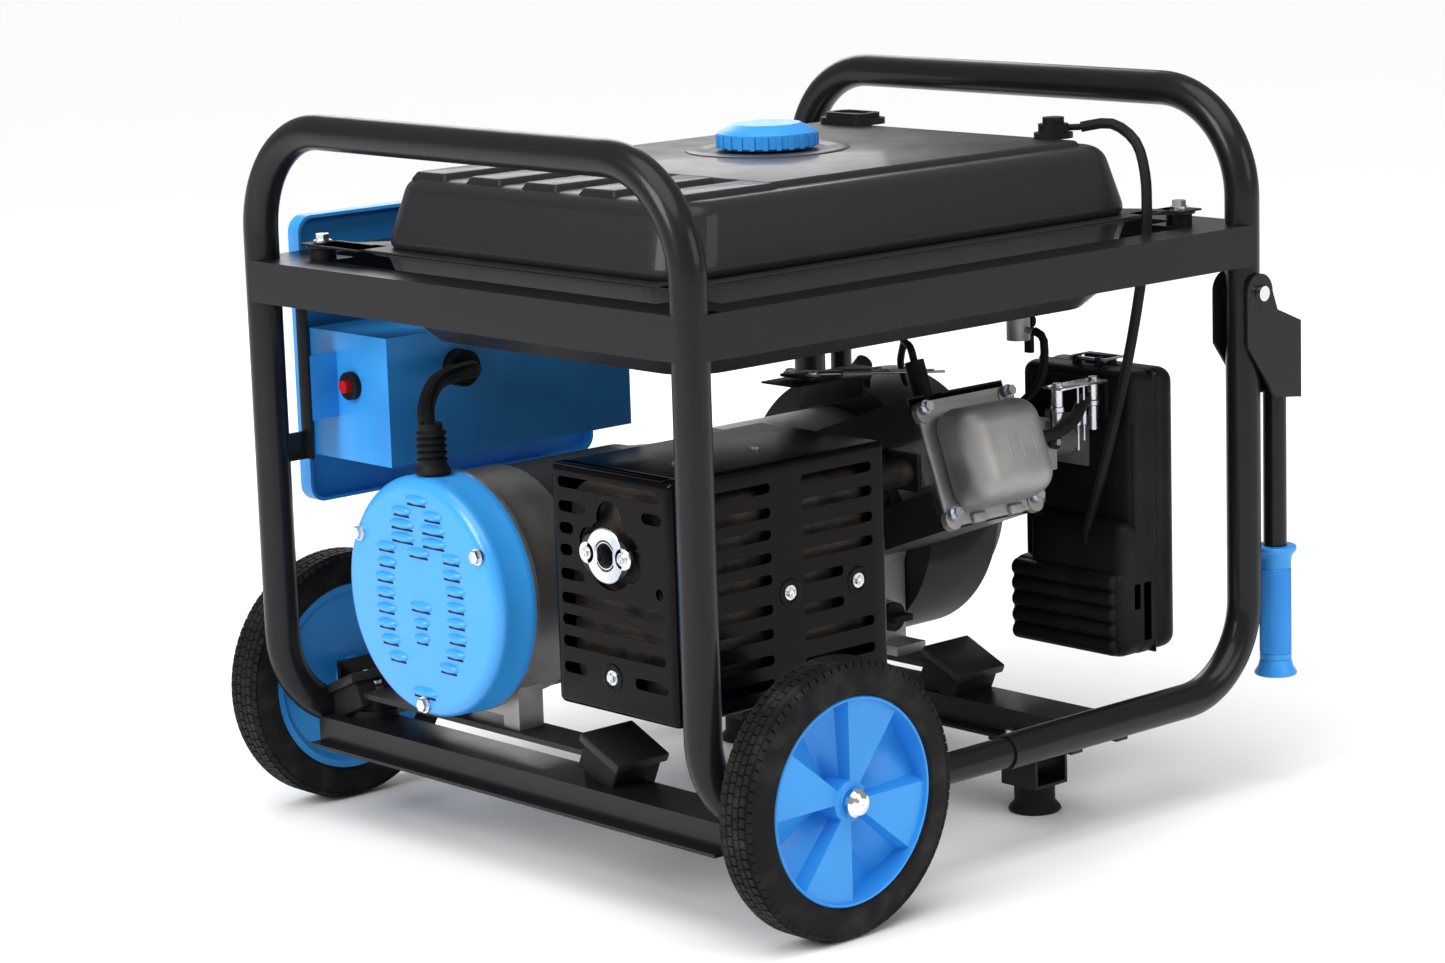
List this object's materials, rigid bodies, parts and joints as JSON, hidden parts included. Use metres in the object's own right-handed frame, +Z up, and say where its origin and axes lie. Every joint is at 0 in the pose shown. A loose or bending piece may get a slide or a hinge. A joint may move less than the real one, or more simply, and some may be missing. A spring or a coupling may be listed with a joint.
{
  "type": "portable generator",
  "caption": "Open-frame petrol generator with fuel tank, engine, alternator, muffler guard, wheels and fold-down handles.",
  "frame": {"origin": "on the ground under the middle of the whole machine", "axes": "X along the crankshaft, -X the alternator end; -Y the muffler side; +Z up"},
  "size_m": [0.7645, 0.7406, 0.669],
  "materials": {
    "frame_black": "gloss",
    "black_sheet": "satin",
    "rubber": "matte",
    "tyre": "matte",
    "blue_plastic": "gloss",
    "blue_metal": "gloss",
    "black_plastic": "satin",
    "red_plastic": "gloss",
    "white_plastic": "gloss",
    "zinc": "satin",
    "chrome": "polished",
    "cast_aluminium": "cast",
    "steel": "machined",
    "laminations": "varnished",
    "exhaust": "heat tinted",
    "foam": "foam"
  },
  "bodies": {
    "frame": {"hoop_wheel_end": "frame_black", "hoop_handle_end": "frame_black", "tank_rails": "frame_black", "crossmember_alternator": "frame_black", "crossmember_engine": "frame_black", "leg_brackets": "frame_black", "rubber_feet": "rubber", "pivot_bolts": "chrome", "tank_upper": "black_sheet", "tank_lower": "black_sheet", "fuel_gauge": "black_plastic", "vent_valve": "black_plastic", "hoses": "rubber", "rubber_mounts": "rubber", "mount_bars": "black_sheet", "bolts": "zinc", "panel_fascia": "blue_plastic", "panel_box": "blue_plastic", "panel_outlets": "black_plastic", "alternator_cover": "blue_metal", "alternator_end_bracket": "cast_aluminium", "stator": "laminations", "alternator_adapter": "cast_aluminium", "harness": "rubber", "crankcase": "cast_aluminium", "engine_cylinder": "cast_aluminium", "valve_cover": "cast_aluminium", "engine_shroud": "black_sheet", "blower_housing": "black_sheet", "recoil_housing": "black_sheet", "carburettor": "cast_aluminium", "fuel_tap": "cast_aluminium", "spark_lead": "rubber", "air_box_base": "black_plastic", "air_box_cover": "black_plastic", "air_filter": "foam", "muffler": "exhaust", "muffler_guard": "black_sheet"},
    "wheel_left": {"tyre_left": "tyre", "hub_left": "blue_plastic"},
    "wheel_right": {"tyre_right": "tyre", "hub_right": "blue_plastic"},
    "handle_left": {"handle_left": "frame_black", "grip_left": "blue_plastic"},
    "handle_right": {"handle_right": "frame_black", "grip_right": "blue_plastic"},
    "cap_core": {"cap_core": "black_plastic"},
    "cap_shell": {"cap_shell": "blue_plastic"},
    "reset_button": {"reset_button": "red_plastic"},
    "breaker_button": {"breaker_button": "white_plastic"},
    "engine_switch": {"engine_switch": "red_plastic"},
    "choke_lever": {"choke_lever": "black_plastic"},
    "governor_arm": {"governor_arm": "zinc"},
    "fuel_tap_lever": {"fuel_tap_lever": "black_plastic"},
    "recoil_grip": {"recoil_grip": "rubber"},
    "dipstick": {"dipstick": "black_plastic"},
    "air_box_clip": {"air_box_clip": "zinc"},
    "crank": {"crankshaft": "steel", "flywheel_fan": "cast_aluminium", "rotor": "laminations"}
  },
  "joints": [
    {"name": "wheel_left_spin", "type": "hinge", "parent": "frame", "child": "wheel_left", "pos_m": [-0.2635, 0.3395, 0.119], "axis": [0, 1, 0], "continuous": true},
    {"name": "wheel_right_spin", "type": "hinge", "parent": "frame", "child": "wheel_right", "pos_m": [-0.2635, -0.3395, 0.119], "axis": [0, 1, 0], "continuous": true},
    {"name": "handle_left_fold", "type": "hinge", "parent": "frame", "child": "handle_left", "pos_m": [0.317, 0.29, 0.47], "axis": [0, -1, 0], "range_deg": [0, 90]},
    {"name": "handle_right_fold", "type": "hinge", "parent": "frame", "child": "handle_right", "pos_m": [0.317, -0.29, 0.47], "axis": [0, -1, 0], "range_deg": [0, 90]},
    {"name": "cap_lift", "type": "slide", "parent": "frame", "child": "cap_core", "axis": [0, 0, 1], "range_m": [0, 0.12]},
    {"name": "cap_turn", "type": "hinge", "parent": "cap_core", "child": "cap_shell", "pos_m": [-0.0035, 0.001, 0.625], "axis": [0, 0, 1], "range_deg": [0, 90]},
    {"name": "reset_push", "type": "slide", "parent": "frame", "child": "reset_button", "axis": [1, 0, 0], "range_m": [0, 0.003], "stiffness_N_per_m": 150},
    {"name": "breaker_push", "type": "slide", "parent": "frame", "child": "breaker_button", "axis": [0, -1, 0], "range_m": [0, 0.003], "stiffness_N_per_m": 150},
    {"name": "engine_switch_rock", "type": "hinge", "parent": "frame", "child": "engine_switch", "pos_m": [-0.0435, 0.315, 0.485], "axis": [1, 0, 0], "range_deg": [-9, 9]},
    {"name": "choke_turn", "type": "hinge", "parent": "frame", "child": "choke_lever", "pos_m": [0.1735, -0.18492, 0.33851], "axis": [0, 1, 0], "range_deg": [-60, 0]},
    {"name": "governor_swing", "type": "hinge", "parent": "frame", "child": "governor_arm", "pos_m": [0.1395, 0, 0.339], "axis": [1, 0, 0], "range_deg": [-8, 4]},
    {"name": "fuel_tap_turn", "type": "hinge", "parent": "frame", "child": "fuel_tap_lever", "pos_m": [0.1895, -0.14, 0.445], "axis": [1, 0, 0], "range_deg": [-90, 0]},
    {"name": "recoil_pull", "type": "slide", "parent": "frame", "child": "recoil_grip", "axis": [0, 0.7071, 0.7071], "range_m": [0, 0.09], "stiffness_N_per_m": 20},
    {"name": "dipstick_turn", "type": "hinge", "parent": "frame", "child": "dipstick", "pos_m": [0.1155, -0.02405, 0.16005], "axis": [0, 1, 0], "range_deg": [0, 170]},
    {"name": "air_box_clip_lift", "type": "hinge", "parent": "frame", "child": "air_box_clip", "pos_m": [0.2415, -0.1665, 0.405], "axis": [0, -1, 0], "range_deg": [0, 110]},
    {"name": "crank_spin", "type": "hinge", "parent": "frame", "child": "crank", "pos_m": [0.0705, 0.078, 0.247], "axis": [1, 0, 0], "continuous": true}
  ]
}
